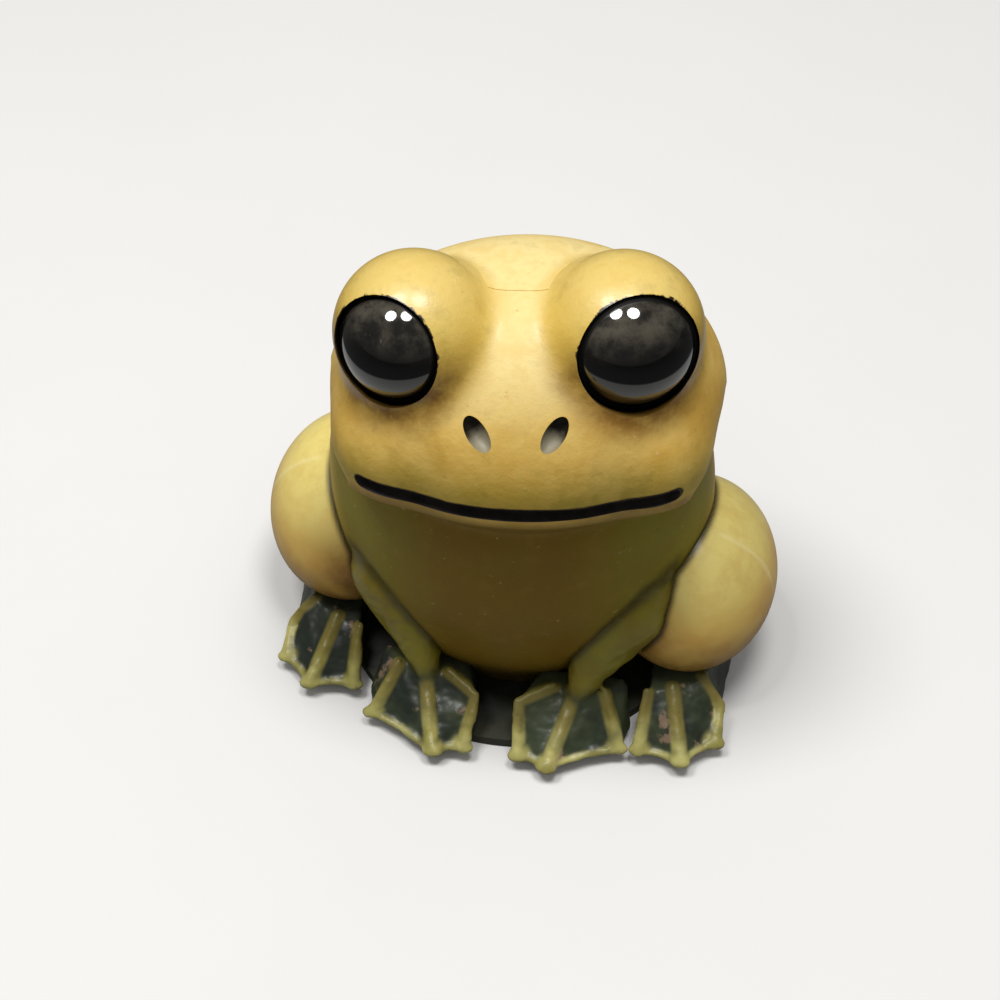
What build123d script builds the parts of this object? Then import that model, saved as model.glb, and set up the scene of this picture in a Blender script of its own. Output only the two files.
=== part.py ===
from build123d import *
import os

# A sitting frog, facing -Y, with its sole on z = 0. Its own left is +X.

# Walls and fits
wall = 1.6
seat_gap = 0.15
peg_play = 0.1
lap_play = 0.12
lap_length = 1.6
seam_y = -2.6

# Sole plate, set back under the feet
sole_thickness = 1.2
foot_overhang_side = 4.2
foot_overhang_front = 2.8
rim_height = 2.4
rim_thickness = 1.4

# Torso, one row per level: height, half width, reach to the front, reach to the back
torso_levels = (
    (sole_thickness, 13.0, 10.5, 16.0),
    (8.0, 17.0, 13.3, 19.0),
    (16.0, 19.0, 15.0, 19.0),
    (24.0, 19.0, 15.0, 16.5),
    (30.0, 18.0, 14.3, 15.0),
    (36.0, 16.0, 11.5, 12.8),
    (42.0, 8.0, 5.0, 9.6),
)

# Head, turned a little to the frog's left; what follows is measured from its centre
head_side = 1.0
head_front = 3.0
head_height = 38.5
head_turn = 8.0
head_cock = -1.5
skull_tilt = 25.0
skull_half_width = 18.4
skull_half_length = 14.0
skull_half_height = 11.0

# Mouth and nostrils
face_shift = -0.6
mouth_front = 13.5
mouth_drop = 2.9
mouth_tilt = -16.5
mouth_roll = 1.3
mouth_half_width = 15.8
mouth_gap = 1.5
mouth_depth = 1.0
nostril_spread = 3.4
nostril_front = 10.7
nostril_height = 4.8
nostril_rise = 36.0
nostril_splay = 10.0
nostril_lean = 53.0
nostril_length = 3.6
nostril_width = 1.9
nostril_depth = 1.0

# Eyes and the brows that carry them
brow_shift = -0.55
brow_spread = 9.3
brow_front = 1.3
brow_height = 8.15
brow_radius = 7.5
eye_splay = 22.0
eye_turn = -5.0
eye_rise = 20.0
eye_radius_left = 5.5
eye_radius_right = 5.15
eye_sink = 2.65
eye_seat = 4.6
socket_depth = 0.8
stem_radius = 1.3
stem_length = 2.2

# Haunches
haunch_spread = 17.7
haunch_front_left = 0.5
haunch_front_right = -2.5
haunch_height = 11.0
haunch_half_width = 8.7
haunch_half_length = 10.5
haunch_half_height = 9.5
haunch_peg_radius = 2.0
haunch_peg_back = 5.0
haunch_peg_reach = 3.0
haunch_peg_root = 6.0

# Feet on the frog's left side: the ridge of each toe from root to tip, and in plan the crest and
# the heel of the web; the hind feet are measured from the middle of their haunch
toe_root_radius = 1.0
toe_knee_radius = 0.92
toe_tip_radius = 0.8
toe_tip_height = 0.5
web_height = 4.4
hem_height = 0.7
hem_pull = 0.14
feet_half_width = 22.4
feet_front = 20.3
front_foot_side = 0.4
front_toes = (
    ((5.4, -13.0, 6.6), (2.0, -15.5, 5.8), (2.8, -19.4, sole_thickness + toe_tip_height)),
    ((7.9, -12.2, 6.6), (5.8, -feet_front, sole_thickness + toe_tip_height)),
    ((10.5, -12.9, 6.4), (12.6, -16.8, sole_thickness + toe_tip_height)),
)
front_crest = ((2.3, -14.8), (7.4, -13.2), (10.6, -12.8))
front_heel = ((12.0, -10.5), (3.0, -10.5))
front_heel_high = ((11.0, -10.5), (4.0, -10.5))
hind_toes = (
    ((15.0, -11.6, 6.4), (14.9, -16.2, sole_thickness + toe_tip_height)),
    ((17.5, -10.6, 6.4), (19.3, -16.9, sole_thickness + toe_tip_height)),
    (
        (20.4, -8.7, 6.0),
        (feet_half_width + 0.1, -10.4, 3.2),
        (feet_half_width, -14.0, sole_thickness + toe_tip_height),
    ),
)
hind_crest = ((15.2, -11.6), (17.6, -10.8), (20.6, -9.0))
hind_heel = ((feet_half_width + 0.6, 0.5), (15.0, 0.5))
hind_heel_high = ((20.5, -4.5), (15.5, -4.5))
heel_thickness = 1.8
heel_pin_radius = 1.4
heel_pin_length = 2.0
heel_pin_front = 4.0

# Forelegs on the frog's left side: shoulder, elbow and wrist, each with the limb's radius
shoulder = (14.0, -4.8, 24.0)
elbow = (12.7, -9.2, 14.0)
wrist = (8.8, -12.3, 7.4)
shoulder_radius = 2.6
elbow_radius = 3.0
wrist_radius = 2.6
arm_peg_radius = 1.5
arm_peg_reach = 4.5
arm_peg_root = 1.8
arm_peg_splay = 40.0

room = 120.0
left, right = 1, -1
head_pose = Pos(head_side, -head_front, head_height) * Rot(0, 0, head_turn) * Rot(0, head_cock, 0)
heel_top = sole_thickness + heel_thickness
haunch_front = {left: haunch_front_left, right: haunch_front_right}
eye_radius = {left: eye_radius_left, right: eye_radius_right}


def oval(half_width, half_length, half_height):
    return scale(Sphere(1), by=(half_width, half_length, half_height))


def torso(inset):
    levels = []
    for height, half_width, front, back in torso_levels:
        ring = Ellipse(half_width - inset, (front + back) / 2 - inset)
        levels.append(Pos(0, (back - front) / 2, height) * ring)
    return loft(levels)


def skull(inset):
    shape = oval(skull_half_width - inset, skull_half_length - inset, skull_half_height - inset)
    return head_pose * Rot(skull_tilt, 0, 0) * shape


def trunk(inset):
    return torso(inset) + skull(inset)


def slab(front, back):
    return Pos(0, (front + back) / 2, room / 2) * Box(room, back - front, room)


def facing(side, splay, rise):
    return Rot(0, 0, side * splay) * Rot(90 - rise, 0, 0)


def brow_place(side):
    place = Pos(brow_shift + side * brow_spread, -brow_front, brow_height)
    return head_pose * place * Rot(0, 0, eye_turn) * facing(side, eye_splay, eye_rise)


def above(height):
    return Pos(0, 0, height) * Box(room, room, room, align=(Align.CENTER, Align.CENTER, Align.MIN))


def below(height):
    return Pos(0, 0, height) * Box(room, room, room, align=(Align.CENTER, Align.CENTER, Align.MAX))


def brow(side):
    return brow_place(side) * (Sphere(brow_radius) - above(eye_seat))


def post(radius, length):
    return Cylinder(radius, length, align=(Align.CENTER, Align.CENTER, Align.MAX))


def eye(side, play):
    dome = Pos(0, 0, -eye_sink) * Sphere(eye_radius[side] + play) & above(0)
    foot = post(eye_radius[side] + play, socket_depth + play)
    stem = Pos(0, 0, -socket_depth) * post(stem_radius + play, stem_length + play)
    return brow_place(side) * Pos(0, 0, eye_seat) * (dome + foot + stem)


def mouth():
    bar = Box(2 * mouth_half_width, skull_half_length, mouth_gap)
    bar = fillet(bar.edges().filter_by(Axis.Y), mouth_gap * 0.45)
    bar = head_pose * Pos(face_shift, -mouth_front, -mouth_drop) * Rot(mouth_tilt, mouth_roll, 0) * bar
    return bar - skull(mouth_depth)


def nostril(side):
    outline = Rot(0, 0, 90 - side * (90 - nostril_lean)) * SlotOverall(nostril_length, nostril_width)
    pit = extrude(outline, nostril_depth, both=True)
    place = Pos(face_shift + side * nostril_spread, -nostril_front, nostril_height)
    return head_pose * place * facing(side, nostril_splay, nostril_rise) * pit


def limb(side, points, radii):
    shape = None
    for (start, end), (thick, thin) in zip(zip(points, points[1:]), zip(radii, radii[1:])):
        start = Vector(side * start[0], start[1], start[2])
        end = Vector(side * end[0], end[1], end[2])
        run = Plane(start, z_dir=end - start) * Cone(
            thick, thin, (end - start).length, align=(Align.CENTER, Align.CENTER, Align.MIN)
        )
        piece = run + Pos(start) * Sphere(thick) + Pos(end) * Sphere(thin)
        shape = piece if shape is None else shape + piece
    return shape


def with_middles(points, pull):
    line = [points[0]]
    for (x, y), (next_x, next_y) in zip(points, points[1:]):
        line.append(((x + next_x) / 2, (y + next_y) / 2 + pull))
        line.append((next_x, next_y))
    return tuple(line)


def web(side, toes, crest, heel, heel_high):
    hem = with_middles([toe[-1][:2] for toe in toes], hem_pull * web_height)
    low = make_face(Polyline(*[(side * x, y) for x, y in hem + heel], close=True))
    high = make_face(Polyline(*[(side * x, y) for x, y in with_middles(crest, 0) + heel_high], close=True))
    base = sole_thickness + hem_height
    slope = loft([Pos(0, 0, base) * low, Pos(0, 0, sole_thickness + web_height) * high], ruled=True)
    return slope + extrude(Pos(0, 0, sole_thickness) * low, hem_height)


def foot(side, toes, crest, heel, heel_high):
    shape = web(side, toes, crest, heel, heel_high)
    for toe in toes:
        knees = (toe_knee_radius,) * (len(toe) - 2)
        shape += limb(side, toe, (toe_root_radius, *knees, toe_tip_radius))
    return shape - below(sole_thickness)


def arm(side, grow):
    radii = (shoulder_radius + grow, elbow_radius + grow, wrist_radius + grow)
    return limb(side, (shoulder, elbow, wrist), radii)


def arm_peg(side, play):
    peg = Pos(0, 0, arm_peg_root) * post(arm_peg_radius + play, arm_peg_root + arm_peg_reach + play)
    return Pos(side * elbow[0], elbow[1], elbow[2]) * facing(side, arm_peg_splay, 0) * peg


def foreleg(side):
    paw = Pos(front_foot_side, 0, 0) * foot(side, front_toes, front_crest, front_heel, front_heel_high)
    return arm(side, 0) + paw - trunk(-seat_gap) + arm_peg(side, 0)


def haunch_oval(side, grow):
    shape = oval(haunch_half_width + grow, haunch_half_length + grow, haunch_half_height + grow)
    return Pos(side * haunch_spread, -haunch_front[side], haunch_height) * shape


def haunch_peg(side, play):
    peg = post(haunch_peg_radius + play, haunch_peg_root + haunch_peg_reach + play)
    place = Pos(side * (haunch_spread + haunch_peg_root), haunch_peg_back - haunch_front[side], haunch_height)
    return place * Rot(0, side * 90, 0) * peg


def heel_pin(side, play):
    pin = Rot(180, 0, 0) * post(heel_pin_radius + play, heel_pin_length + play)
    place = Pos(side * (haunch_spread + heel_pin_radius), -haunch_front[side] - heel_pin_front, heel_top)
    return place * pin


def haunch(side):
    shape = haunch_oval(side, 0) - torso(-seat_gap) - arm(side, seat_gap) - below(heel_top)
    return shape + haunch_peg(side, 0) - heel_pin(side, peg_play)


def hind_foot(side):
    paw = foot(side, hind_toes, hind_crest, hind_heel, hind_heel_high)
    shape = Pos(0, -haunch_front[side], 0) * paw - (haunch_oval(side, seat_gap) & above(heel_top))
    return shape - torso(-seat_gap) - arm(side, seat_gap) + heel_pin(side, 0)


def front_shell():
    shape = trunk(0) & slab(-room, seam_y)
    for side in (left, right):
        shape += brow(side)
    shape -= mouth()
    for side in (left, right):
        shape -= nostril(side)
    shape -= trunk(wall)
    shape += (trunk(wall / 2 + lap_play) - trunk(wall)) & slab(seam_y, seam_y + lap_length)
    for side in (left, right):
        shape -= eye(side, peg_play)
        shape -= arm_peg(side, peg_play)
    return shape


def rear_shell():
    shape = (trunk(0) - trunk(wall)) & slab(seam_y, room)
    shape -= trunk(wall / 2) & slab(seam_y, seam_y + lap_length + lap_play)
    for side in (left, right):
        shape -= brow_place(side) * Sphere(brow_radius + seat_gap)
        shape -= haunch_peg(side, peg_play)
    return shape


def sole_plate():
    outline = Ellipse(feet_half_width - foot_overhang_side, feet_front - foot_overhang_front)
    _, half_width, front, back = torso_levels[0]
    inset = wall + lap_play
    ring = Ellipse(half_width - inset, (front + back) / 2 - inset)
    ring -= Ellipse(half_width - inset - rim_thickness, (front + back) / 2 - inset - rim_thickness)
    rim = extrude(Pos(0, (back - front) / 2, sole_thickness) * ring, rim_height)
    return extrude(outline, sole_thickness) + rim


os.makedirs("parts", exist_ok=True)
export_step(front_shell(), "parts/front_shell.step")
export_step(rear_shell(), "parts/rear_shell.step")
export_step(sole_plate(), "parts/sole_plate.step")
export_step(eye(left, 0), "parts/left_eye.step")
export_step(eye(right, 0), "parts/right_eye.step")
export_step(haunch(left), "parts/left_haunch.step")
export_step(haunch(right), "parts/right_haunch.step")
export_step(foreleg(left), "parts/left_foreleg.step")
export_step(foreleg(right), "parts/right_foreleg.step")
export_step(hind_foot(left), "parts/left_hind_foot.step")
export_step(hind_foot(right), "parts/right_hind_foot.step")
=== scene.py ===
import bpy
import bmesh
import math
from mathutils import Matrix, Vector, noise
from mathutils.bvhtree import BVHTree
from mathutils.interpolate import poly_3d_calc
from mathutils.kdtree import KDTree


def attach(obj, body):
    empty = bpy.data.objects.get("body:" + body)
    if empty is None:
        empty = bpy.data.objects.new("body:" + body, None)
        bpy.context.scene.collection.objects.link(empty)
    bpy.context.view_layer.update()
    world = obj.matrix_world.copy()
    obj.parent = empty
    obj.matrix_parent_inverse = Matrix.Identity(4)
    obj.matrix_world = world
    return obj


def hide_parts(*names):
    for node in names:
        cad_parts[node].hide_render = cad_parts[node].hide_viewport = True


# The forms are laid out in millimetres and brought to metres when a piece is finished.
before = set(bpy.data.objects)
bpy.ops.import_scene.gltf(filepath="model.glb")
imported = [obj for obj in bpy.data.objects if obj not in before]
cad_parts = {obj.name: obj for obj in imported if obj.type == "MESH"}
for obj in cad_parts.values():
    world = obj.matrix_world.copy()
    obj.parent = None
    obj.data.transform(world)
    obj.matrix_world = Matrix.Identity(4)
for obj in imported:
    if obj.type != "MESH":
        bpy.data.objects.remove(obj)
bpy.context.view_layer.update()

left, right = 1, -1  # the frog's own


def turned(degrees, axis):
    return Matrix.Rotation(math.radians(degrees), 4, axis)


headSet = {
    "centre": (1.0, -3.0, 38.5),
    "turn": 8.0,  # towards the frog's left
    "cock": -1.5,
}
headPose = (Matrix.Translation(headSet["centre"])
            @ turned(headSet["turn"], "Z") @ turned(headSet["cock"], "Y"))
headBack = headPose.inverted()


def rgb(red, green, blue):  # display colour to the linear value the shaders take
    linear = lambda c: c / 3294.6 if c <= 10 else ((c / 255 + 0.055) / 1.055) ** 2.4
    return linear(red), linear(green), linear(blue), 1


def ease(low, high, value):
    t = min(max((value - low) / (high - low), 0.0), 1.0)
    return t * t * (3 - 2 * t)


def toSegment(p, a, b):  # distance from a point to a straight stretch
    run = b - a
    t = min(max((p - a).dot(run) / run.length_squared, 0.0), 1.0)
    return (p - a - run * t).length


def blob(bm, centre, radii, turn=None, detail=4):
    place = Matrix.Translation(centre)
    if turn is not None:
        place = place @ turn
    place = place @ Matrix.Diagonal((*radii, 1))
    bmesh.ops.create_icosphere(bm, subdivisions=detail, radius=1, matrix=place)


def strand(bm, points, radii, step=0.4):  # overlapping balls along a line, merged later
    for (a, b), (ra, rb) in zip(zip(points, points[1:]), zip(radii, radii[1:])):
        a, b = Vector(a), Vector(b)
        run = bmesh.new()
        count = max(2, int((b - a).length / (min(ra, rb) * step)))
        for i in range(count + 1):
            r = ra + (rb - ra) * i / count
            blob(run, a.lerp(b, i / count), (r, r, r), detail=3)
        pour(run, bm)


def pour(source, target):
    mesh = bpy.data.meshes.new("part")
    source.to_mesh(mesh)
    source.free()
    target.from_mesh(mesh)
    bpy.data.meshes.remove(mesh)


def objectFrom(bm, name):
    mesh = bpy.data.meshes.new(name)
    bm.to_mesh(mesh)
    bm.free()
    obj = bpy.data.objects.new(name, mesh)
    bpy.context.collection.objects.link(obj)
    return obj


def settle(obj):  # modifiers become the mesh
    graph = bpy.context.evaluated_depsgraph_get()
    mesh = bpy.data.meshes.new_from_object(obj.evaluated_get(graph))
    obj.modifiers.clear()
    obj.data = mesh
    return obj


def fuse(obj, voxel):
    remesh = obj.modifiers.new("fuse", "REMESH")
    remesh.mode = "VOXEL"
    remesh.voxel_size = voxel
    return settle(obj)


def cutWith(obj, tool, operation, materials="INDEX"):
    cut = obj.modifiers.new("cut", "BOOLEAN")
    cut.operation = operation
    cut.solver = "EXACT"
    cut.material_mode = materials
    cut.object = tool
    return settle(obj)


def carve(obj, tool, material):  # the cut's walls take the given paint
    tool.data.materials.clear()
    tool.data.materials.append(material)
    cutWith(obj, tool, "DIFFERENCE", "TRANSFER")
    bpy.data.objects.remove(tool)


def soften(obj, rounds, where=None):
    bm = bmesh.new()
    bm.from_mesh(obj.data)
    verts = [v for v in bm.verts if where is None or where(v.co)]
    for _ in range(rounds):
        bmesh.ops.smooth_vert(bm, verts=verts, factor=0.5,
                              use_axis_x=True, use_axis_y=True, use_axis_z=True)
    bm.to_mesh(obj.data)
    bm.free()
    return obj


def push(obj, rule):  # every vertex moves along its normal
    moves = [v.normal * rule(v.co, v.normal) for v in obj.data.vertices]
    for v, move in zip(obj.data.vertices, moves):
        v.co += move


def treeOf(obj):
    bm = bmesh.new()
    bm.from_mesh(obj.data)
    tree = BVHTree.FromBMesh(bm)
    bm.free()
    return tree


def smoothNormal(whole, tree, p):  # the shading normal of a mesh at the point nearest to p
    hit, _, index, _ = tree.find_nearest(p)
    corners = [whole.data.vertices[i] for i in whole.data.polygons[index].vertices]
    weights = poly_3d_calc([v.co for v in corners], hit)
    return sum((v.normal * w for v, w in zip(corners, weights)), Vector()).normalized()


def mask(obj, name, rule, normals=None):  # one spray pass: a value for every vertex
    normals = normals or [v.normal for v in obj.data.vertices]
    values = [rule(v.co, n) for v, n in zip(obj.data.vertices, normals)]
    obj.data.attributes.new(name, "FLOAT", "POINT").data.foreach_set("value", values)


def finishPiece(obj, node, material, normals=None):
    obj.data.transform(Matrix.Scale(0.001, 4))
    obj.data.shade_smooth()
    crease = 40
    obj.data.set_sharp_from_angle(angle=math.radians(crease))
    if normals:
        obj.data.normals_split_custom_set(normals)
    if not obj.data.materials:
        obj.data.materials.append(material)
    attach(obj, "root")
    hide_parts(node)
    print(obj.name, len(obj.data.polygons), "faces")


# Finishes
surface = {"rough": "Roughness", "coat": "Coat Weight", "coatRough": "Coat Roughness",
           "coatIndex": "Coat IOR", "specular": "Specular IOR Level"}


class Shader:
    def __init__(self, name):
        self.material = bpy.data.materials.new(name)
        self.material.use_nodes = True
        self.tree = self.material.node_tree
        self.bsdf = self.tree.nodes["Principled BSDF"]
        self.coords = self.add("ShaderNodeTexCoord").outputs["Object"]

    def add(self, kind, **values):
        node = self.tree.nodes.new(kind)
        for key, value in values.items():
            if hasattr(node, key):
                setattr(node, key, value)
            else:
                node.inputs[key].default_value = value
        return node

    def link(self, out, into):
        self.tree.links.new(out, into)

    def attribute(self, name):
        return self.add("ShaderNodeAttribute", attribute_name=name).outputs["Fac"]

    def grain(self, scale, detail=4, rough=0.6):
        node = self.add("ShaderNodeTexNoise", Scale=scale, Detail=detail, Roughness=rough)
        self.link(self.coords, node.inputs["Vector"])
        return node.outputs["Fac"]

    def ramp(self, value, low, high, start=0.0, end=1.0):
        node = self.add("ShaderNodeMapRange", interpolation_type="SMOOTHSTEP")
        self.link(value, node.inputs["Value"])
        for key, number in (("From Min", low), ("From Max", high), ("To Min", start), ("To Max", end)):
            node.inputs[key].default_value = number
        return node.outputs["Result"]

    def math(self, kind, a, b):
        node = self.add("ShaderNodeMath", operation=kind)
        for socket, value in zip(node.inputs, (a, b)):
            if isinstance(value, (int, float)):
                socket.default_value = value
            else:
                self.link(value, socket)
        return node.outputs[0]

    def mix(self, amount, a, b):
        node = self.add("ShaderNodeMix", data_type="RGBA")
        for socket, value in zip((node.inputs[0], node.inputs[6], node.inputs[7]), (amount, a, b)):
            if isinstance(value, (int, float, tuple)):
                socket.default_value = value
            else:
                self.link(value, socket)
        return node.outputs[2]

    def bump(self, value, strength, distance):
        node = self.add("ShaderNodeBump", Strength=strength, Distance=distance)
        self.link(value, node.inputs["Height"])
        self.link(node.outputs["Normal"], self.bsdf.inputs["Normal"])

    def times(self, a, b):
        return self.math("MULTIPLY", a, b)

    def colour(self, value):
        self.link(value, self.bsdf.inputs["Base Color"])

    def drive(self, value, **ranges):  # inputs that follow a mask
        for key, (start, end) in ranges.items():
            self.link(self.ramp(value, 0, 1, start, end), self.bsdf.inputs[surface[key]])

    def set(self, **values):
        for key, value in values.items():
            self.bsdf.inputs[surface[key]].default_value = value


skinColours = {
    "ochre": (rgb(208, 166, 74), rgb(226, 190, 102)),
    "brow": rgb(224, 190, 82),
    "lips": rgb(168, 152, 50),
    # crown: a painted highlight where the head faces up into the light
    "crown": rgb(238, 216, 148),
    "underEye": rgb(112, 70, 20),
    # belly: olive-brown paint, kept darker to stand for the shade under the chin and low on the body
    "belly": rgb(122, 95, 20),
    "flank": rgb(130, 121, 27),
    "bellyCloud": rgb(126, 104, 24),
    "lowerLip": rgb(150, 122, 64),
    # painted shade in the gaps by the limbs and low down near the ground
    "creviceShade": rgb(30, 24, 8),
    "lipEdge": rgb(34, 22, 9),
    "eyeEdge": rgb(20, 17, 14),
    "mottle": rgb(150, 118, 44),
    "worn": rgb(248, 230, 180),
    "dirt": rgb(96, 64, 24),
}


def trunkPaint(name):
    s, c = Shader(name), skinColours
    cloud = s.grain(130, 3)
    mottle = s.grain(420, 5, 0.65)
    fine = s.grain(1100, 6, 0.7)
    patchy = s.ramp(mottle, 0.3, 0.7, 0.65, 1.15)
    sprayed = lambda mask, by=1.0: s.times(s.attribute(mask), s.times(patchy, by))
    colour = s.mix(s.ramp(cloud, 0.35, 0.65), *c["ochre"])
    colour = s.mix(sprayed("yellow", 0.9), colour, c["brow"])
    colour = s.mix(sprayed("olive", 0.75), colour, c["lips"])
    # painted highlight on the crown
    colour = s.mix(sprayed("litFromAbove"), colour, c["crown"])
    colour = s.mix(sprayed("brown", 0.9), colour, c["underEye"])
    belly = s.mix(s.attribute("side"), c["belly"], c["flank"])
    belly = s.mix(s.ramp(cloud, 0.4, 0.62, 0, 0.4), belly, c["bellyCloud"])
    # belly paint, darkened as painted shade under the chin and low on the body
    colour = s.mix(s.attribute("belly"), colour, belly)
    colour = s.mix(sprayed("lowerLip", 0.8), colour, c["lowerLip"])
    # painted shade between the parts and near the ground
    colour = s.mix(sprayed("creviceShade", 0.95), colour, c["creviceShade"])
    ragged = s.times(s.math("SUBTRACT", s.grain(650, 4, 0.6), 0.5), 1.5)
    frayed = lambda edge, by: s.math("ADD", s.attribute(edge), s.times(ragged, by))
    colour = s.mix(s.ramp(frayed("lipEdge", 0.15), 1.0, 0.78), colour, c["lipEdge"])
    colour = s.mix(s.ramp(frayed("eyeEdge", 0.7), 0.2, 0.08), colour, c["eyeEdge"])
    colour = s.mix(s.ramp(mottle, 0.5, 0.7, 0, 0.22), colour, c["mottle"])
    colour = s.mix(s.ramp(fine, 0.64, 0.74, 0, 0.4), colour, c["worn"])
    s.colour(s.mix(s.ramp(fine, 0.36, 0.26, 0, 0.4), colour, c["dirt"]))
    shine = s.times(s.attribute("yellow"), s.ramp(s.attribute("belly"), 0, 1, 1, 0))
    s.drive(shine, coat=(0.03, 0.4), specular=(0.16, 0.5), rough=(0.48, 0.34))  # glossy brows
    s.set(coatRough=0.18)
    s.bump(fine, 0.3, 0.0003)
    return s.material


thighColours = {
    "ochre": (rgb(204, 160, 78), rgb(218, 182, 96)),
    # thigh: a painted highlight on the faces turned up to the light
    "litTop": rgb(236, 216, 128),
    # low: brown paint, darkened towards the bottom and against the body as painted shade
    "low": rgb(98, 60, 14),
    # painted shade in the gaps by the body, foreleg and foot
    "creviceShade": rgb(34, 26, 8),
    "partingLine": rgb(250, 238, 180),
    "worn": rgb(248, 230, 180),
}


def haunchPaint(name):
    s, c = Shader(name), thighColours
    fine = s.grain(1100, 6, 0.7)
    patchy = s.ramp(s.grain(420, 5, 0.65), 0.3, 0.7, 0.65, 1.15)
    colour = s.mix(s.ramp(s.grain(150, 3), 0.35, 0.65), *c["ochre"])
    # painted highlight on the thigh
    colour = s.mix(s.times(s.attribute("litFromAbove"), patchy), colour, c["litTop"])
    # brown paint, darkened towards the bottom and against the body as painted shade
    colour = s.mix(s.times(s.attribute("low"), patchy), colour, c["low"])
    # painted shade in the gaps by the body, foreleg and foot
    colour = s.mix(s.times(s.attribute("creviceShade"), 0.92), colour, c["creviceShade"])
    colour = s.mix(s.times(s.attribute("line"), 0.35), colour, c["partingLine"])
    s.colour(s.mix(s.ramp(fine, 0.68, 0.74, 0, 0.35), colour, c["worn"]))
    s.set(rough=0.4, coat=0.1, coatRough=0.18, specular=0.22)
    s.bump(fine, 0.12, 0.0002)
    return s.material


limbColours = {
    "web": (rgb(40, 46, 38), rgb(62, 70, 48)),
    "wornWeb": rgb(150, 122, 100),
    "toe": (rgb(160, 152, 78), rgb(208, 200, 124)),
    "toeRoot": rgb(112, 98, 40),
    "arm": (rgb(120, 106, 25), rgb(128, 119, 30)),
    # painted shade where the foreleg meets the body
    "creviceShade": rgb(34, 28, 10),
}


def limbPaint(name):
    s, c = Shader(name), limbColours
    cloud = s.grain(160, 3)
    worn = s.grain(260, 5, 0.65)
    web = s.mix(s.ramp(cloud, 0.4, 0.6), *c["web"])
    web = s.mix(s.ramp(worn, 0.57, 0.64, 0, 0.7), web, c["wornWeb"])
    toe = s.mix(s.ramp(cloud, 0.35, 0.65), *c["toe"])
    toe = s.mix(s.ramp(s.attribute("root"), 0, 1, 0, 0.85), toe, c["toeRoot"])
    colour = s.mix(s.times(s.attribute("ridge"), s.ramp(worn, 0.25, 0.45, 0.4, 1)), web, toe)
    colour = s.mix(s.attribute("arm"), colour, s.mix(s.ramp(cloud, 0.35, 0.65), *c["arm"]))
    # painted shade where the foreleg meets the body
    s.colour(s.mix(s.times(s.attribute("creviceShade"), 0.85), colour, c["creviceShade"]))
    s.set(rough=0.4, coat=0.1, coatRough=0.18, specular=0.35)
    s.bump(worn, 0.15, 0.0002)
    return s.material


eyeColours = {
    "black": rgb(12, 12, 12),
    # painted reflection of the room, mottled, on the dome's higher part
    "roomReflection": rgb(92, 86, 74),
    "dust": rgb(120, 116, 108),
    "rim": rgb(13, 12, 11),
}


def eyeGloss(name):  # black gloss with a painted reflection of the room above, and a matt painted rim
    s, c = Shader(name), eyeColours
    # painted reflection of the room on the dome's higher part
    roomReflection = s.times(s.attribute("reflectedAbove"), s.ramp(s.grain(420, 5, 0.65), 0.34, 0.66, 0.1, 0.8))
    colour = s.mix(roomReflection, c["black"], c["roomReflection"])
    colour = s.mix(s.ramp(s.grain(1500, 4, 0.7), 0.68, 0.74, 0, 0.35), colour, c["dust"])
    s.colour(s.mix(s.attribute("rim"), colour, c["rim"]))
    s.drive(s.attribute("rim"), rough=(0.07, 0.6), coat=(0.9, 0.0), specular=(0.6, 0.15))
    s.set(coatRough=0.04, coatIndex=1.6)
    return s.material


def plainPaint(name, low, high, rough, grain, clouds, relief):  # a coat with a little cloudiness
    s = Shader(name)
    cloud = s.grain(*grain)
    s.colour(s.mix(s.ramp(cloud, *clouds), low, high))
    s.set(rough=rough)
    s.bump(cloud, *relief)
    return s.material


def wallPaint(name, way, low, high, scale, blur, ends, **finish):  # two colours along a mask
    s = Shader(name)
    dust = s.grain(scale, 4, 0.6)
    along = s.math("ADD", s.attribute(way), s.times(s.math("SUBTRACT", dust, 0.5), blur))
    s.colour(s.mix(s.ramp(along, *ends), low, high))
    s.set(**finish)
    s.bump(dust, 0.1, 0.0001)
    return s.material


mouthPaint = plainPaint("mouthBrown", rgb(20, 13, 7), rgb(38, 25, 12), 0.5,
                        (700, 4, 0.6), (0.35, 0.65), (0.1, 0.0001))
solePaint = plainPaint("darkSole", rgb(30, 33, 26), rgb(52, 52, 36), 0.6,
                       (200, 5, 0.65), (0.4, 0.65), (0.2, 0.0003))
nostrilPaint = wallPaint("nostrilGrey", "pit", rgb(34, 27, 16), rgb(150, 142, 118),
                         800, 0.8, (0.35, -0.35), rough=0.5)  # dark beneath the overhanging edge as painted shade, dusty grey below
socketPaint = wallPaint("socketPaint", "lid", rgb(14, 12, 10), rgb(118, 88, 34),
                        700, 0.5, (0.15, 0.6), rough=0.55, specular=0.2)  # black at the foot, brown above
skinPaint = trunkPaint("ochreSkin")
thighPaint = haunchPaint("ochreThigh")
toePaint = limbPaint("webbedLimb")
blackGloss = eyeGloss("blackGloss")


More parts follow.
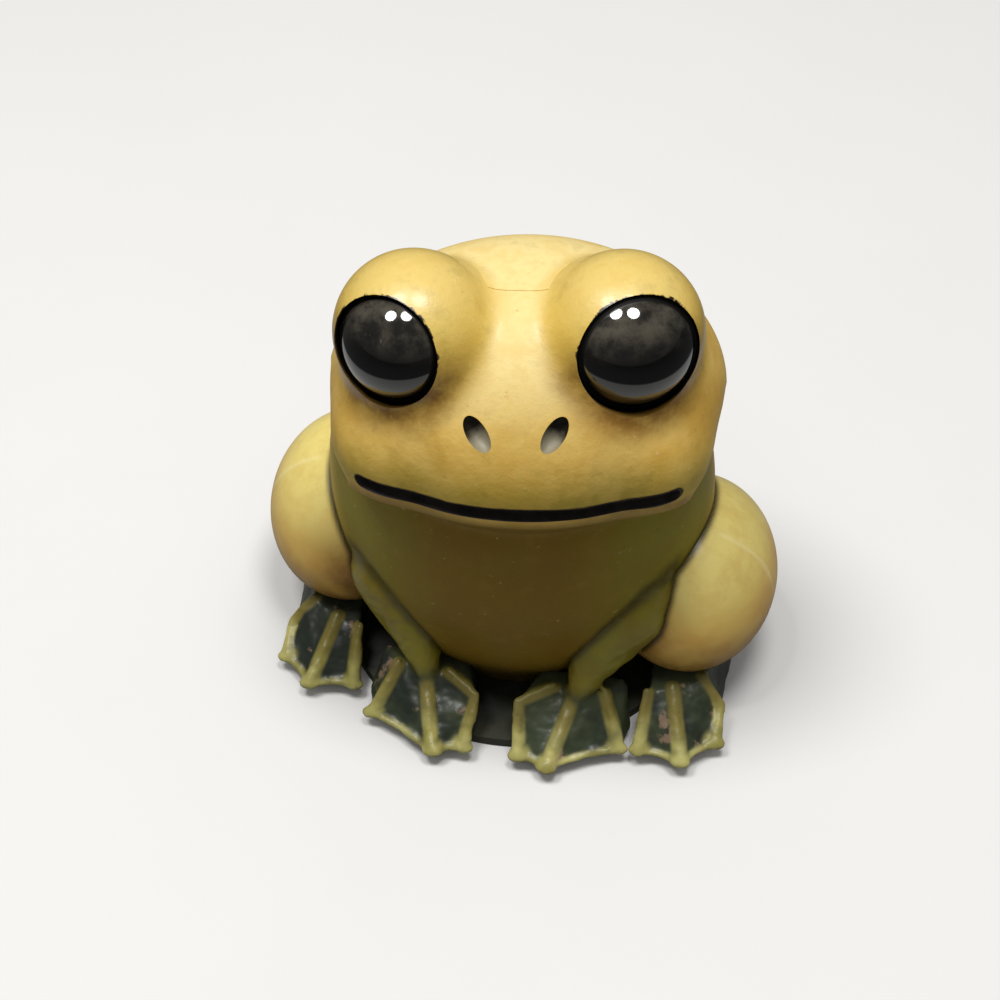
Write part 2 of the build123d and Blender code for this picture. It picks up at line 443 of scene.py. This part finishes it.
# Trunk: torso, skull and brows in one skin
trunkSet = {
    "levels": (  # height, half width, reach to the front, reach to the back
        (1.2, 13.0, 10.5, 16.0), (8.0, 17.0, 13.3, 19.0), (16.0, 19.0, 15.0, 19.0), (24.0, 19.0, 15.0, 16.5),
        (30.0, 18.0, 14.3, 15.0), (36.0, 16.0, 11.5, 12.8), (42.0, 8.0, 5.0, 9.6)),
    "skull": (18.4, 14.0, 11.0),
    "skullTilt": 25.0,
    "voxel": 0.35,
    "seam": -2.6,
    "seamTurn": 6.0,
    "proud": 0.11,  # the rear half stands a hair over the front one on the crown
    "proudMiddle": 0.3, "proudSide": (4.4, 3.2), "proudHeight": (44, 46), "proudDepth": (6, 1),
    "soft": 10,
}
browSet = {
    "shift": -0.55, "spread": 9.3, "front": 1.3, "height": 8.15, "radius": 7.45,
    "splay": 22.0, "turn": -5.0, "rise": 20.0,
    "soft": 30, "blend": 2.6, "softAbove": 2.0,
    "joint": 0.3,  # the parting line keeps this far outside the brows
}
eyeSet = {
    "radius": {left: 5.5, right: 5.15},
    "flat": 0.3, "dome": 2.95, "seat": 4.6, "depth": 0.8, "round": 0.2,
    "play": 0.08, "clear": 9.0,  # round the eye, and in front of it
    # reflectionSpan: where the painted reflection runs, up the dome
    "rim": (0.5, 0.2), "reflectionSpan": (0.0, 3.6),
}
jawSet = {
    "below": 0.6, "reach": 1.02, "radius": 7.0, "sink": 5.2,
    "soft": 80, "blend": 2.5, "softAbove": -1.0,
}
lipSet = {"below": 1.8, "reach": 1.08, "radius": 1.15, "proud": 0.4}
mouthSet = {
    "shift": -0.6, "front": 13.5, "drop": 2.9, "tilt": -16.5, "roll": 1.3,
    "half": 14.2, "curl": 0.8, "gap": 0.75, "sink": 0.1,
    "finer": 0.1, "finerFrom": (4, 12), "voxel": 0.12, "soft": 3,
    "middle": 13.0, "lowerOut": 0.3, "lowerDrop": 0.5,  # the lower row of cutters
}
nostrilSet = {
    "shift": -0.6, "spread": 3.4, "front": 10.7, "height": 4.8,
    "rise": 36.0, "splay": 10.0, "lean": 37.0, "radii": (0.95, 1.85, 1.1),
}


def facing(side, splay, rise):
    return turned(side * splay, "Z") @ turned(90 - rise, "X")


def browPlace(side):
    s = browSet
    return (headPose @ Matrix.Translation((s["shift"] + side * s["spread"], -s["front"], s["height"]))
            @ turned(s["turn"], "Z") @ facing(side, s["splay"], s["rise"]))


def eyePlace(side):
    return browPlace(side) @ Matrix.Translation((0, 0, eyeSet["seat"]))


def levelAt(height):  # the torso's ring at a height, on a smooth curve through the levels
    rows = trunkSet["levels"]
    i = max(k for k in range(len(rows) - 1) if rows[k][0] <= height + 1e-6)
    before, low, high = rows[max(i - 1, 0)], rows[i], rows[i + 1]
    after = rows[min(i + 2, len(rows) - 1)]
    t = (height - low[0]) / (high[0] - low[0])
    ring = []
    for k in (1, 2, 3):
        a, b, c, d = before[k], low[k], high[k], after[k]
        bend, twist = 2 * a - 5 * b + 4 * c - d, 3 * b - a - 3 * c + d
        ring.append(0.5 * (2 * b + (c - a) * t + bend * t ** 2 + twist * t ** 3))
    return ring


mouthPlane = (headPose @ Matrix.Translation((mouthSet["shift"], -mouthSet["front"], -mouthSet["drop"]))
              @ turned(mouthSet["tilt"], "X") @ turned(mouthSet["roll"], "Y"))
mouthUp = mouthPlane.inverted()


def mouthLine(tree, below=0.0, sink=0.0, reach=1.0):  # the lip line on the skin, right to left
    points = []
    inward = mouthPlane.to_3x3() @ Vector((0, 1, 0))
    for i in range(81):
        t = i / 40 - 1
        start = mouthPlane @ Vector((mouthSet["half"] * reach * t, -12, mouthSet["curl"] * t ** 4 - below))
        hit, normal, _, _ = tree.ray_cast(start, inward)
        points.append(hit - normal * sink)
    for _ in range(40):
        points[1:-1] = [(a + 2 * b + c) / 4 for a, b, c in zip(points, points[1:], points[2:])]
    return points


def trunkSkin():
    bm = bmesh.new()
    low, high = trunkSet["levels"][0][0], trunkSet["levels"][-1][0]
    count, edges = 42, []
    for i in range(count + 1):
        height = low + (high - low) * i / count
        half, front, back = levelAt(height)
        place = Matrix.Translation((0, (back - front) / 2, height))
        place = place @ Matrix.Diagonal((half, (front + back) / 2, 1, 1))
        ring = bmesh.ops.create_circle(bm, cap_ends=i in (0, count), segments=72, radius=1, matrix=place)
        edges += list({e for v in ring["verts"] for e in v.link_edges})
    bmesh.ops.bridge_loops(bm, edges=edges)
    bmesh.ops.recalc_face_normals(bm, faces=bm.faces)
    blob(bm, headPose.translation, trunkSet["skull"],
         headPose.to_3x3().to_4x4() @ turned(trunkSet["skullTilt"], "X"), detail=5)
    for side in (left, right):
        blob(bm, browPlace(side).translation, (browSet["radius"],) * 3, detail=5)
    line = mouthLine(BVHTree.FromBMesh(bm), jawSet["below"], jawSet["sink"], jawSet["reach"])
    jaws = (line[0], line[-1])
    for p in jaws:
        blob(bm, p, (jawSet["radius"],) * 3, detail=4)
    lipDepth = lipSet["radius"] - lipSet["proud"]
    for p in mouthLine(BVHTree.FromBMesh(bm), lipSet["below"], lipDepth, lipSet["reach"]):
        blob(bm, p, (lipSet["radius"],) * 3, detail=3)
    skin = fuse(objectFrom(bm, "trunk"), trunkSet["voxel"])
    soften(skin, trunkSet["soft"])
    brows = [browPlace(side).translation for side in (left, right)]

    def nearBrow(p):
        away = min(abs((p - b).length - browSet["radius"]) for b in brows)
        return away < browSet["blend"] and (headBack @ p).z > browSet["softAbove"]

    def nearJaw(p):
        away = min((p - j).length for j in jaws)
        return away < jawSet["radius"] + jawSet["blend"] and (mouthUp @ p).z > jawSet["softAbove"]

    soften(skin, browSet["soft"], nearBrow)
    soften(skin, jawSet["soft"], nearJaw)
    return skin


skin = trunkSkin()
lipLine = mouthLine(treeOf(skin), sink=mouthSet["sink"])
print("trunk skin", len(skin.data.polygons))


def mouthTool():  # finer towards the frog's left end
    bm = bmesh.new()
    for a, b in zip(lipLine, lipLine[1:]):
        for t in (0, 0.5):
            p = a.lerp(b, t)
            r = mouthSet["gap"] * (1 - mouthSet["finer"] * ease(*mouthSet["finerFrom"], p.x))
            away = (mouthUp @ p - Vector((0, mouthSet["middle"], 0))).xy.normalized() * mouthSet["lowerOut"]
            lower = mouthPlane.to_3x3() @ Vector((away.x, away.y, -mouthSet["lowerDrop"]))
            for centre in (p, p + lower):
                blob(bm, centre, (r, r, r), detail=3)
    return soften(fuse(objectFrom(bm, "mouthTool"), mouthSet["voxel"]), mouthSet["soft"])


def nostrilPlace(side):
    s = nostrilSet
    return (headPose @ Matrix.Translation((s["shift"] + side * s["spread"], -s["front"], s["height"]))
            @ facing(side, s["splay"], s["rise"]) @ turned(-side * s["lean"], "Z"))


def nostrilTool(side):
    place = nostrilPlace(side)
    bm = bmesh.new()
    blob(bm, place.translation, nostrilSet["radii"], place.to_3x3().to_4x4(), detail=4)
    return objectFrom(bm, "nostrilTool")


def socketTool(side):
    bm = bmesh.new()
    r = eyeSet["radius"][side] + eyeSet["play"]
    deep, clear = eyeSet["depth"], eyeSet["clear"]
    bmesh.ops.create_cone(bm, cap_ends=True, segments=96, radius1=r, radius2=r, depth=deep + clear,
                          matrix=eyePlace(side) @ Matrix.Translation((0, 0, (clear - deep) / 2)))
    return objectFrom(bm, "socketTool")


skin.data.materials.append(skinPaint)
carve(skin, mouthTool(), mouthPaint)
for side in (left, right):
    carve(skin, nostrilTool(side), nostrilPaint)
    carve(skin, socketTool(side), socketPaint)
print("face carved", len(skin.data.polygons))


# Limbs, laid out on the frog's left and mirrored
footSet = {
    "sole": 1.2, "tip": 1.7,
    "rootRadius": 0.48, "kneeRadius": 0.5, "tipRadius": 0.72, "tipPad": (1.15, 0.75, 0.62),
    "hemRadius": 0.4, "hemPull": 0.25, "webTop": 5.4,
    "wave": 0.14, "waveScale": 0.5, "soft": 9, "below": 0.4,
    "frontSide": 0.4,
    "frontToes": (((5.4, -13.2, 5.9), (2.0, -15.4, 5.4), (2.8, -19.4)), ((7.9, -12.4, 6.0), (5.8, -20.3)),
                  ((10.5, -12.9, 5.8), (12.6, -16.8))),
    "frontCrest": ((2.3, -14.8), (7.4, -13.2), (10.6, -12.8)),
    "frontHeel": ((13.4, -13.6), (3.0, -10.5)),
    "frontHeelHigh": ((12.4, -10.5), (4.0, -10.5)),
    "hindToes": (((15.0, -11.6, 5.5), (14.9, -16.2)), ((17.5, -10.6, 5.6), (19.3, -16.9)),
                 ((20.4, -8.7, 5.5), (22.5, -10.4, 3.2), (22.4, -14.0))),
    "hindCrest": ((15.2, -11.6), (17.6, -10.8), (20.6, -9.0)),
    "hindHeel": ((23.0, 0.5), (15.0, 0.5)),
    "hindHeelHigh": ((20.5, -4.5), (15.5, -4.5)),
    "voxel": 0.2,
}
armSet = {
    "side": 0.5,
    "joints": ((12.6, -3.4, 24.0), (11.4, -7.4, 14.0), (8.6, -11.5, 7.8), (7.4, -14.2, 4.8)),
    "radii": (3.6, 4.9, 2.2, 0.8),
    "soft": 25, "softAbove": 4.6,
}
haunchSet = {
    "spread": 17.7, "front": {left: 0.5, right: -2.5}, "height": 11.0,
    "radii": (8.7, 10.5, 9.5), "heel": 3.0,
}


def footPoints(side, hind):  # toe lines, crest of the web, heel below and above, all in space
    word = "hind" if hind else "front"
    shift = Vector((0, -haunchSet["front"][side], 0)) if hind else Vector((footSet["frontSide"], 0, 0))
    place = lambda x, y, z: Vector((side * x, y, z)) + shift
    level = lambda key, z: [place(x, y, z) for x, y in footSet[word + key]]
    low, high = footSet["tip"], footSet["webTop"]
    toes = [[place(*p) if len(p) == 3 else place(*p, low) for p in toe] for toe in footSet[word + "Toes"]]
    return toes, level("Crest", high), level("Heel", low), level("HeelHigh", high)


def hemLine(toes):  # the free edge of the web, drawn in between the toes
    tips = [toe[-1] for toe in toes]
    line = [tips[0]]
    for a, b in zip(tips, tips[1:]):
        line += [(a + b) / 2 + Vector((0, footSet["hemPull"], 0)), b]
    return line


def addHull(bm, points):
    part = bmesh.new()
    for p in points:
        part.verts.new(p)
        part.verts.new((p.x, p.y, footSet["sole"] - footSet["below"]))
    bmesh.ops.convex_hull(part, input=part.verts)
    bmesh.ops.recalc_face_normals(part, faces=part.faces)
    pour(part, bm)


def addFoot(bm, side, hind):
    toes, crest, heel, high = footPoints(side, hind)
    hem = hemLine(toes)
    for i in range(len(toes) - 1):
        addHull(bm, (crest[i], crest[i + 1], hem[2 * i], hem[2 * i + 1]))
        addHull(bm, (crest[i], crest[i + 1], hem[2 * i + 1], hem[2 * i + 2]))
    addHull(bm, (*crest, *high))
    addHull(bm, (crest[-1], hem[-1], heel[0], high[0]))
    addHull(bm, (crest[0], hem[0], heel[1], high[1]))
    addHull(bm, (*high, *heel))
    for toe in toes:
        knees = [footSet["kneeRadius"]] * (len(toe) - 2)
        strand(bm, toe, [footSet["rootRadius"], *knees, footSet["tipRadius"]])
        blob(bm, toe[-1], footSet["tipPad"], detail=3)
    strand(bm, hem, [footSet["hemRadius"]] * len(hem))


def uneven(obj):  # the slight waviness of a worn mould
    push(obj, lambda p, n: footSet["wave"] * noise.fractal(p * footSet["waveScale"], 1.0, 2.0, 3))
    return obj


def cutBelow(bm, height):
    everything = bm.verts[:] + bm.edges[:] + bm.faces[:]
    return bmesh.ops.bisect_plane(bm, geom=everything, plane_co=(0, 0, height),
                                  plane_no=(0, 0, -1), clear_outer=True)


def nameOf(side, word):
    return ("left" if side == left else "right") + word


def flatten(obj, height):  # a level underside
    bm = bmesh.new()
    bm.from_mesh(obj.data)
    cut = cutBelow(bm, height)
    bmesh.ops.holes_fill(bm, edges=[e for e in cut["geom_cut"] if isinstance(e, bmesh.types.BMEdge)])
    bm.to_mesh(obj.data)
    bm.free()
    return obj


def foreleg(side):
    bm = bmesh.new()
    joints = [(side * x + armSet["side"], y, z) for x, y, z in armSet["joints"]]
    strand(bm, joints, armSet["radii"], step=0.3)
    addFoot(bm, side, False)
    made = fuse(objectFrom(bm, nameOf(side, "Foreleg")), footSet["voxel"])
    soften(made, footSet["soft"])
    soften(made, armSet["soft"], lambda p: p.z > armSet["softAbove"])
    return flatten(uneven(made), footSet["sole"])


def hindFoot(side):
    bm = bmesh.new()
    addFoot(bm, side, True)
    made = fuse(objectFrom(bm, nameOf(side, "HindFoot")), footSet["voxel"])
    soften(made, footSet["soft"])
    return flatten(uneven(made), footSet["sole"])


def haunch(side):
    bm = bmesh.new()
    s = haunchSet
    blob(bm, (side * s["spread"], -s["front"][side], s["height"]), s["radii"], detail=6)
    return flatten(objectFrom(bm, nameOf(side, "Haunch")), s["heel"])


def eye(side):  # a wide dome standing in a low painted rim
    bm = bmesh.new()
    r, high = eyeSet["radius"][side], eyeSet["dome"]
    wide = r - eyeSet["flat"]
    ball = (high * high + wide * wide) / (2 * high)
    bmesh.ops.create_uvsphere(bm, u_segments=96, v_segments=96, radius=ball,
                              matrix=Matrix.Translation((0, 0, high - ball)))
    cutBelow(bm, 0)
    edge = eyeSet["round"]
    for out, drop in ((eyeSet["flat"] - edge, 0), (edge, -edge), (0, -eyeSet["depth"])):
        ring = bmesh.ops.extrude_edge_only(bm, edges=[e for e in bm.edges if e.is_boundary])
        verts = [v for v in ring["geom"] if isinstance(v, bmesh.types.BMVert)]
        bmesh.ops.scale(bm, vec=((wide + out) / wide, (wide + out) / wide, 1), verts=verts)
        bmesh.ops.translate(bm, vec=(0, 0, drop), verts=verts)
        wide += out
    bmesh.ops.holes_fill(bm, edges=[e for e in bm.edges if e.is_boundary])
    bmesh.ops.recalc_face_normals(bm, faces=bm.faces)
    bmesh.ops.transform(bm, matrix=eyePlace(side), verts=bm.verts)
    made = objectFrom(bm, nameOf(side, "Eye"))
    into = eyePlace(side).inverted()
    mask(made, "rim", lambda p, n: ease(*eyeSet["rim"], (into @ p).z))
    # painted reflection of the room, towards the dome's crest
    mask(made, "reflectedAbove", lambda p, n: ease(*eyeSet["reflectionSpan"], (into @ p).y))
    return made


limbs = {}
for side in (left, right):
    limbs["foreleg", side] = foreleg(side)
    limbs["foot", side] = hindFoot(side)
    limbs["haunch", side] = haunch(side)
    limbs["eye", side] = eye(side)
print("limbs made")


# Spray passes: each pair runs from no paint to full paint, in millimetres, slopes by the normal's z
trunkSpray = {
    # belly: olive-brown paint kept dark as painted shade under the chin and low on the body
    "bellyLip": (-0.3, -2.6), "bellyBehind": (22, 14), "bellyHeight": (30, 14), "flank": (5, 14),
    "underEye": (4.2, 0.0), "underEyeRadius": 5.2, "underEyeUp": (3.5, -2.5), "underEyeDeep": (-6, -2),
    # crown: painted highlight, strongest on faces turned up
    "crownSlope": (0.35, 0.95), "crownHeight": (2, 9), "crownLess": 0.6,  # less of it on the brows
    "lipsAbove": (6.5, 0.5), "lipsBelow": (-0.5, 0.5), "lipsBehind": (20, 12),
    "brow": (1.6, 0.0),
    "lowerFoot": (-3.2, -1.6), "lowerTop": (0.3, -0.6), "lowerSide": (3, 9), "lowerBehind": (14, 9),
    # gaps and ground: painted shade between the parts, and a painted contact shadow low down
    "thighGap": (1.2, 0.1), "limbGap": (0.9, 0.1), "limbDark": 0.75, "ground": (11, 3), "groundDark": 0.85,
    "eyeLower": (1, -3), "eyeWider": 0.6, "eyeDeep": -3.0, "far": 4.0,
    "lidRound": 0.4, "lidDeep": -1.5, "pitReach": 3.0,
}
haunchSpray = {
    # low: brown paint, darker towards the bottom and against the body as painted shade
    "height": (13.5, 4.5), "flank": (5.5, 0.5), "flankHeight": (20, 10), "flankDark": 0.9,
    # painted highlight on faces turned up
    "topSlope": (0.15, 0.8),
    "line": (0.35, 0.12), "lineAhead": 2.0, "lineSlope": (0.1, 0.4), "lineClear": (0.8, 2.0),
    # painted shade in the gaps
    "gap": (0.8, 0.1),
}
limbSpray = {
    "toe": (0.95, 0.5), "toeHeight": (8.0, 4.5), "hem": (0.65, 0.25), "hemPale": 0.75,
    "tip": (1.7, 0.8), "tipSlope": (-0.6, 0.3), "tipPale": 0.8,
    # gap, gapHeight, gapDark: painted shade near the body
    "arm": (5.0, 7.5), "gap": (0.8, 0.1), "gapHeight": (5, 9), "gapDark": 0.75, "root": (1.9, 5.2),
}
trees = {key: treeOf(obj) for key, obj in limbs.items()}
skinTree = treeOf(skin)
intoEye = {side: eyePlace(side).inverted() for side in (left, right)}
intoNostril = {side: nostrilPlace(side).inverted() for side in (left, right)}


def nearest(tree, p):
    return tree.find_nearest(p)[3]


lipDots = KDTree(len(lipLine) * 8)
for i, (a, b) in enumerate(zip(lipLine, lipLine[1:])):
    for k in range(8):
        lipDots.insert(a.lerp(b, k / 8), i * 8 + k)
lipDots.balance()


def trunkMasks(obj):
    s = trunkSpray
    normals = [smoothNormal(skin, skinTree, v.co) for v in obj.data.vertices]

    # olive-brown paint, kept dark as painted shade under the chin and low on the body
    def belly(p, n):
        q = mouthUp @ p
        under = ease(*s["bellyLip"], q.z) * ease(*s["bellyBehind"], q.y)
        return max(under, ease(*s["bellyHeight"], p.z))

    def side(p, n):
        return ease(*s["flank"], abs(p.x - headSet["centre"][0]))

    def brown(p, n):
        value = 0.0
        for into in intoEye.values():
            q = into @ p
            ring = ease(*s["underEye"], math.hypot(q.x, q.y) - s["underEyeRadius"])
            value = max(value, ring * ease(*s["underEyeUp"], q.y) * ease(*s["underEyeDeep"], q.z))
        return value

    # painted highlight: lighter where the crown faces up
    def litFromAbove(p, n):
        litTop = ease(*s["crownSlope"], n.z) * ease(*s["crownHeight"], (headBack @ p).z)
        return litTop * (1 - s["crownLess"] * yellow(p, n))

    def olive(p, n):
        q = mouthUp @ p
        return ease(*s["lipsAbove"], q.z) * ease(*s["lipsBelow"], q.z) * ease(*s["lipsBehind"], q.y)

    def yellow(p, n):
        middle = Vector((0, 0, -eyeSet["seat"]))
        out = min((into @ p - middle).length for into in intoEye.values()) - browSet["radius"]
        return ease(*s["brow"], out)

    def lowerLip(p, n):
        q = mouthUp @ p
        band = ease(*s["lowerFoot"], q.z) * ease(*s["lowerTop"], q.z)
        return band * ease(*s["lowerSide"], abs(q.x)) * ease(*s["lowerBehind"], q.y)

    # painted shade by the thighs and forelegs, and a painted contact shadow near the ground
    def creviceShade(p, n):
        thigh = min(nearest(trees["haunch", side], p) for side in (left, right))
        limb = min(nearest(trees["foreleg", side], p) for side in (left, right))
        return max(ease(*s["thighGap"], thigh), s["limbDark"] * ease(*s["limbGap"], limb),
                   s["groundDark"] * ease(*s["ground"], p.z))

    def lipEdge(p, n):  # millimetres from the lip line
        return min(lipDots.find(p)[2], s["far"])

    def eyeEdge(p, n):  # millimetres outside the socket
        away = s["far"]
        for which, into in intoEye.items():
            q = into @ p
            if q.z > s["eyeDeep"]:
                wider = s["eyeWider"] * ease(*s["eyeLower"], q.y)
                away = min(away, math.hypot(q.x, q.y) - eyeSet["radius"][which] + wider)
        return away

    def lid(p, n):  # millimetres up the wall of a socket
        for which, into in intoEye.items():
            q = into @ p
            if math.hypot(q.x, q.y) < eyeSet["radius"][which] + s["lidRound"] and q.z > s["lidDeep"]:
                return q.z
        return 0.0

    def pit(p, n):  # up and down within a nostril
        for into in intoNostril.values():
            q = into @ p
            if q.length < s["pitReach"]:
                return q.y / nostrilSet["radii"][1]
        return 0.0

    for rule in (belly, side, brown, litFromAbove, olive, yellow, lowerLip, creviceShade, lipEdge, eyeEdge, lid, pit):
        mask(obj, rule.__name__, rule, normals)


def haunchMasks(obj, side):
    s = haunchSpray

    # brown paint, darker towards the bottom and next to the body as painted shade
    def low(p, n):
        flank = ease(*s["flank"], nearest(skinTree, p)) * ease(*s["flankHeight"], p.z)
        return max(ease(*s["height"], p.z), s["flankDark"] * flank)

    # painted highlight: lighter where the thigh faces up
    def litFromAbove(p, n):
        return ease(*s["topSlope"], n.z)

    def line(p, n):  # the parting line over the thigh
        off = abs(p.y + haunchSet["front"][side] + s["lineAhead"])
        clear = ease(*s["lineClear"], nearest(skinTree, p))
        return ease(*s["line"], off) * ease(*s["lineSlope"], n.z) * clear

    # painted shade in the gaps to the body, foreleg and foot
    def creviceShade(p, n):
        gap = min(nearest(skinTree, p), nearest(trees["foreleg", side], p), nearest(trees["foot", side], p))
        return ease(*s["gap"], gap)

    for rule in (low, litFromAbove, line, creviceShade):
        mask(obj, rule.__name__, rule)


def limbMasks(obj, side, hind):
    s = limbSpray
    toes = footPoints(side, hind)[0]
    hem = hemLine(toes)
    ridges = [pair for toe in toes for pair in zip(toe, toe[1:])]

    def ridge(p, n):
        along = ease(*s["toe"], min(toSegment(p, a, b) for a, b in ridges)) * ease(*s["toeHeight"], p.z)
        edge = ease(*s["hem"], min(toSegment(p, a, b) for a, b in zip(hem, hem[1:])))
        tip = ease(*s["tip"], min((p - toe[-1]).length for toe in toes)) * ease(*s["tipSlope"], n.z)
        return max(along, s["hemPale"] * edge, s["tipPale"] * tip)

    def arm(p, n):
        return 0.0 if hind else ease(*s["arm"], p.z)

    # painted shade where the leg runs into the body
    def creviceShade(p, n):
        return s["gapDark"] * ease(*s["gap"], nearest(skinTree, p)) * ease(*s["gapHeight"], p.z)

    def root(p, n):
        return ease(*s["root"], p.z)

    for rule in (ridge, arm, creviceShade, root):
        mask(obj, rule.__name__, rule)


for side in (left, right):
    haunchMasks(limbs["haunch", side], side)
    limbMasks(limbs["foreleg", side], side, False)
    limbMasks(limbs["foot", side], side, True)
print("limbs sprayed")


def faceBlock():  # everything that goes with the face: the front of the seam and both brows
    bm = bmesh.new()
    room = 80
    seam = Matrix.Translation((0, trunkSet["seam"], 0)) @ turned(trunkSet["seamTurn"], "Z")
    box = Matrix.Translation((0, -room / 2, room / 2 - 5)) @ Matrix.Scale(room, 4)
    bmesh.ops.create_cube(bm, size=1, matrix=seam @ box)
    block = objectFrom(bm, "faceBlock")
    for side in (left, right):
        bm = bmesh.new()
        blob(bm, browPlace(side).translation, (browSet["radius"] + browSet["joint"],) * 3, detail=4)
        ball = objectFrom(bm, "ball")
        cutWith(block, ball, "UNION")
        bpy.data.objects.remove(ball)
    return block


def parted(obj, block, name, operation):
    half = bpy.data.objects.new(name, obj.data.copy())
    bpy.context.collection.objects.link(half)
    return cutWith(half, block, operation)


def calmSeam(half, whole, block):  # at the joint the shading of the whole skin
    onSkin, onJoint = 0.15, 0.02
    edge, tree = treeOf(block), treeOf(whole)
    normals = [(0, 0, 0)] * len(half.data.loops)
    for f in half.data.polygons:
        if not tree.find_nearest(f.center, onSkin)[0]:
            continue
        for loop in f.loop_indices:
            p = half.data.vertices[half.data.loops[loop].vertex_index].co
            if edge.find_nearest(p, onJoint)[0]:
                normals[loop] = smoothNormal(whole, tree, p)
    return normals


def crownStep(p, n):
    s = trunkSet
    middle = ease(*s["proudSide"], abs(p.x - s["proudMiddle"]))
    return s["proud"] * middle * ease(*s["proudHeight"], p.z) * ease(*s["proudDepth"], p.y)


block = faceBlock()
faceShell = parted(skin, block, "faceShell", "INTERSECT")
backShell = parted(skin, block, "backShell", "DIFFERENCE")
push(backShell, crownStep)
seamNormals = {half.name: calmSeam(half, skin, block) for half in (faceShell, backShell)}
for half in (faceShell, backShell):
    trunkMasks(half)
print("trunk parted and sprayed")
for spent in (skin, block):
    bpy.data.objects.remove(spent)
finishPiece(faceShell, "front_shell", skinPaint, seamNormals["faceShell"])
finishPiece(backShell, "rear_shell", skinPaint, seamNormals["backShell"])
for side, word in ((left, "left"), (right, "right")):
    finishPiece(limbs["foreleg", side], word + "_foreleg", toePaint)
    finishPiece(limbs["foot", side], word + "_hind_foot", toePaint)
    finishPiece(limbs["haunch", side], word + "_haunch", thighPaint)
    finishPiece(limbs["eye", side], word + "_eye", blackGloss)

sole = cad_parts["sole_plate"]
sole.data.materials.clear()
sole.data.materials.append(solePaint)


# Studio
stageSet = {
    "floor": (0.8, 0.79, 0.77), "floorLift": 1.04, "floorRough": 0.7,
    "bounce": (0.26, 0.25, 0.23),  # the floor as it lights the figure
    "mirrored": (0.34, 0.34, 0.33), "mirroredFar": 0.03, "mirroredReach": (0.07, 0.078),
    "world": 0.36, "mirroredWorld": 0.06, "seenWorld": 0.95,
    "lamps": {"keyLeft": (-0.13, -0.03, 0.42), "keyRight": (0.05, -0.01, 0.44)},
    "lampSize": 0.13, "lampPower": 0.8, "lampAim": (0, 0, 0.025),
}


def studio():
    bm = bmesh.new()
    bmesh.ops.create_grid(bm, x_segments=1, y_segments=1, size=3)
    floor = objectFrom(bm, "floor")
    paint = Shader("paleFloor")
    grain = paint.grain(30, 3)
    tint = stageSet["floor"]
    seen = paint.mix(grain, (*tint, 1), (*(c * stageSet["floorLift"] for c in tint), 1))
    path = paint.add("ShaderNodeLightPath")
    away = paint.add("ShaderNodeVectorMath", operation="LENGTH")
    paint.link(paint.coords, away.inputs[0])
    far = paint.ramp(away.outputs["Value"], *stageSet["mirroredReach"])
    mirrored = paint.mix(far, (*stageSet["mirrored"], 1), (*(stageSet["mirroredFar"],) * 3, 1))
    bounce = paint.mix(path.outputs["Is Glossy Ray"], (*stageSet["bounce"], 1), mirrored)
    paint.colour(paint.mix(path.outputs["Is Camera Ray"], bounce, seen))
    paint.set(rough=stageSet["floorRough"])
    floor.data.materials.append(paint.material)
    for name, place in stageSet["lamps"].items():
        lamp = bpy.data.lights.new(name, "AREA")
        lamp.shape = "DISK"
        lamp.size = stageSet["lampSize"]
        lamp.energy = stageSet["lampPower"]
        obj = bpy.data.objects.new(name, lamp)
        bpy.context.collection.objects.link(obj)
        obj.location = place
        aim = Vector(stageSet["lampAim"]) - Vector(place)
        obj.rotation_euler = aim.to_track_quat("-Z", "Y").to_euler()
    world = bpy.data.worlds.new("studio")
    bpy.context.scene.world = world
    world.use_nodes = True
    back = world.node_tree.nodes["Background"]
    back.inputs["Color"].default_value = (1, 1, 1, 1)
    nodes, links = world.node_tree.nodes, world.node_tree.links
    path = nodes.new("ShaderNodeLightPath")
    glossy, level = nodes.new("ShaderNodeMapRange"), nodes.new("ShaderNodeMapRange")
    glossy.inputs["To Min"].default_value = stageSet["world"]
    glossy.inputs["To Max"].default_value = stageSet["mirroredWorld"]
    level.inputs["To Max"].default_value = stageSet["seenWorld"]
    links.new(path.outputs["Is Glossy Ray"], glossy.inputs["Value"])
    links.new(glossy.outputs["Result"], level.inputs["To Min"])
    links.new(path.outputs["Is Camera Ray"], level.inputs["Value"])
    links.new(level.outputs["Result"], back.inputs["Strength"])


cameraSet = {
    "azimuth": 10.0, "elevation": 50.0, "distance": 0.2236, "lens": 80.5,
    "target": (0, 0, 0.018), "side": -0.002,
}


def camera():
    s = cameraSet
    a, e = math.radians(s["azimuth"]), math.radians(s["elevation"])
    back = Vector((math.sin(a) * math.cos(e), -math.cos(a) * math.cos(e), math.sin(e)))
    across = Vector((math.cos(a), math.sin(a), 0))
    data = bpy.data.cameras.new("camera")
    data.lens = s["lens"]
    data.sensor_width = 36
    data.clip_start = 0.01
    obj = bpy.data.objects.new("camera", data)
    bpy.context.collection.objects.link(obj)
    obj.location = Vector(s["target"]) + across * s["side"] + back * s["distance"]
    obj.rotation_euler = (-back).to_track_quat("-Z", "Y").to_euler()
    bpy.context.scene.camera = obj


studio()
camera()
bpy.context.scene.view_settings.view_transform = "Standard"
